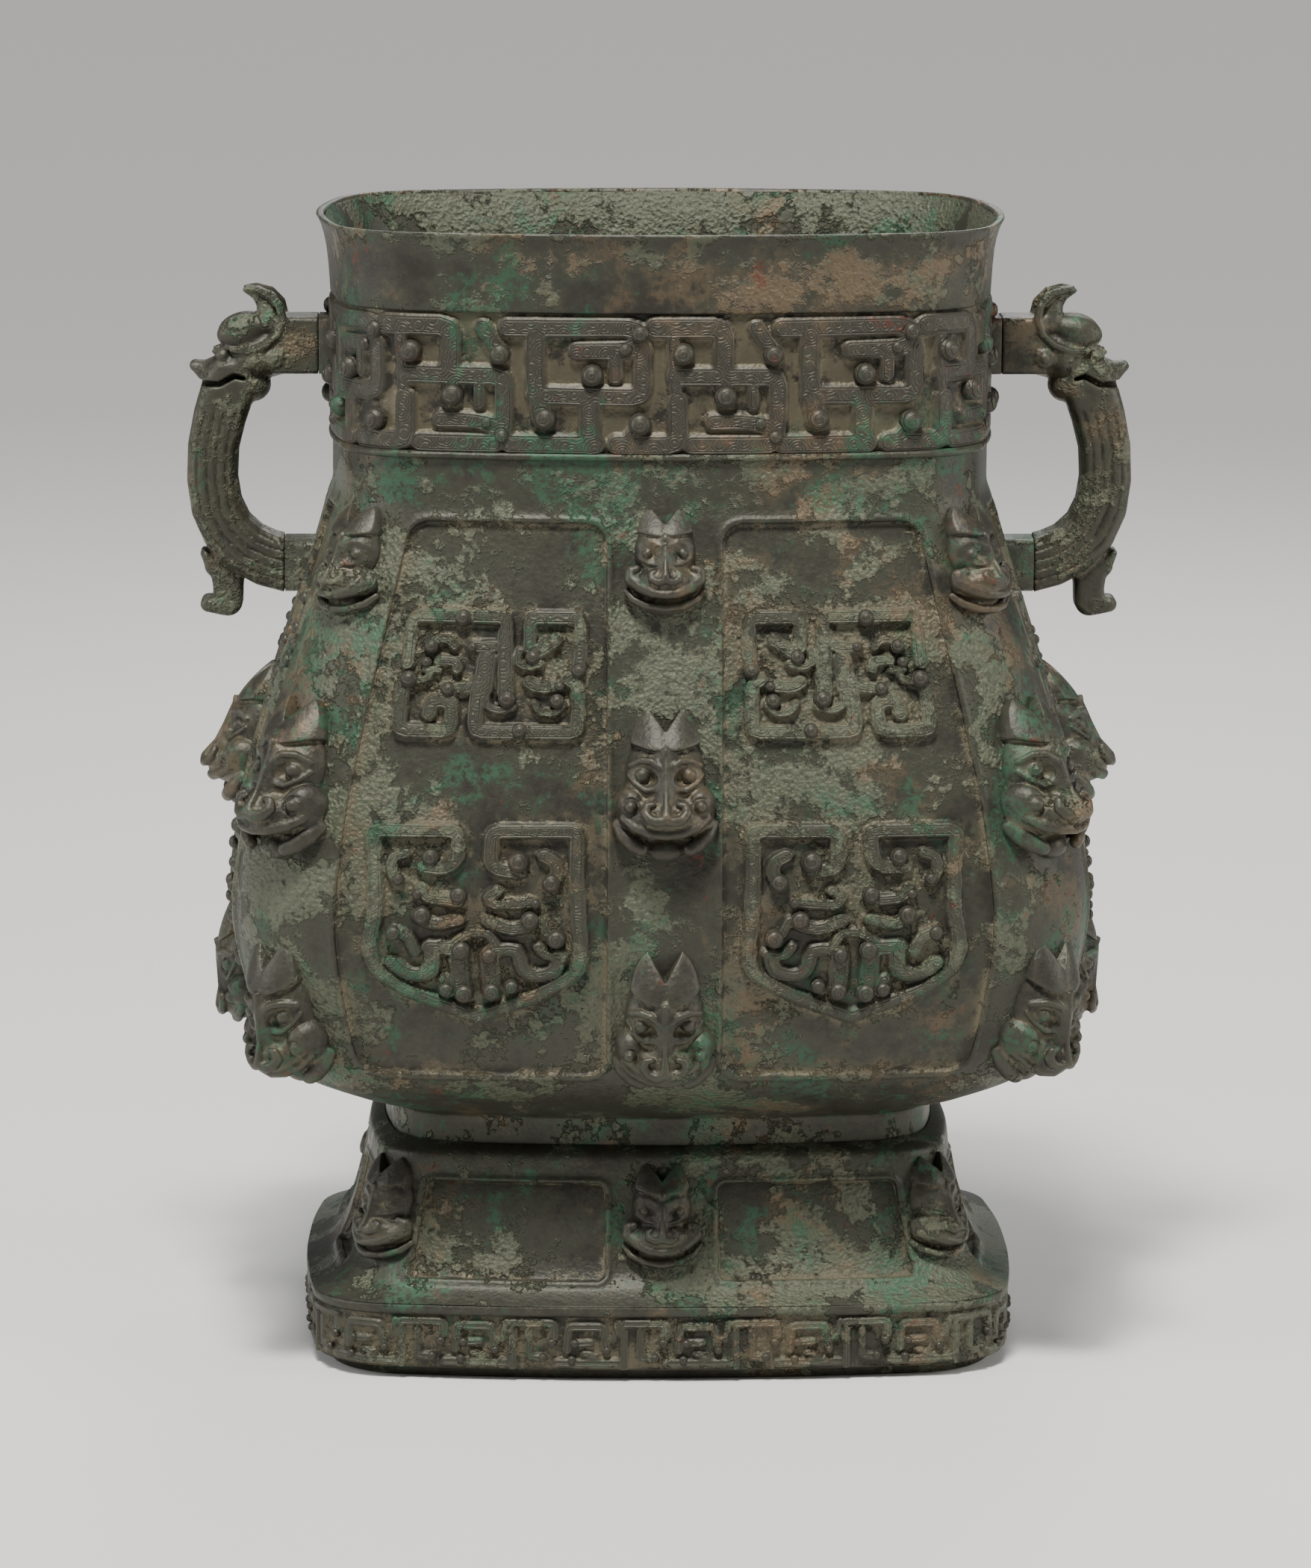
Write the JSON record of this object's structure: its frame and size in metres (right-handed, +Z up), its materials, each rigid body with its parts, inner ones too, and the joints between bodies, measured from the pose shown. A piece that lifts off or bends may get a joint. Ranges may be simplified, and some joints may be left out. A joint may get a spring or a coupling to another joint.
{
  "type": "bronze fanghu wine vessel",
  "caption": "Tall cast bronze wine vessel of rounded rectangular section with a flared lip, relief panels, beast masks, a spreading hollow foot and beast-headed loop handles.",
  "frame": {"origin": "on the ground under the middle of the vessel, at the centre of the foot's underside", "axes": "+Z up to the mouth; the broad front faces -Y, and the handles stand out along +X and -X"},
  "size_m": [0.417, 0.3056, 0.5],
  "materials": {
    "vessel": "patinated",
    "handle_right": "patinated",
    "handle_left": "patinated"
  },
  "bodies": {
    "root": {"vessel": "vessel", "handle_right": "handle_right", "handle_left": "handle_left"}
  },
  "joints": []
}
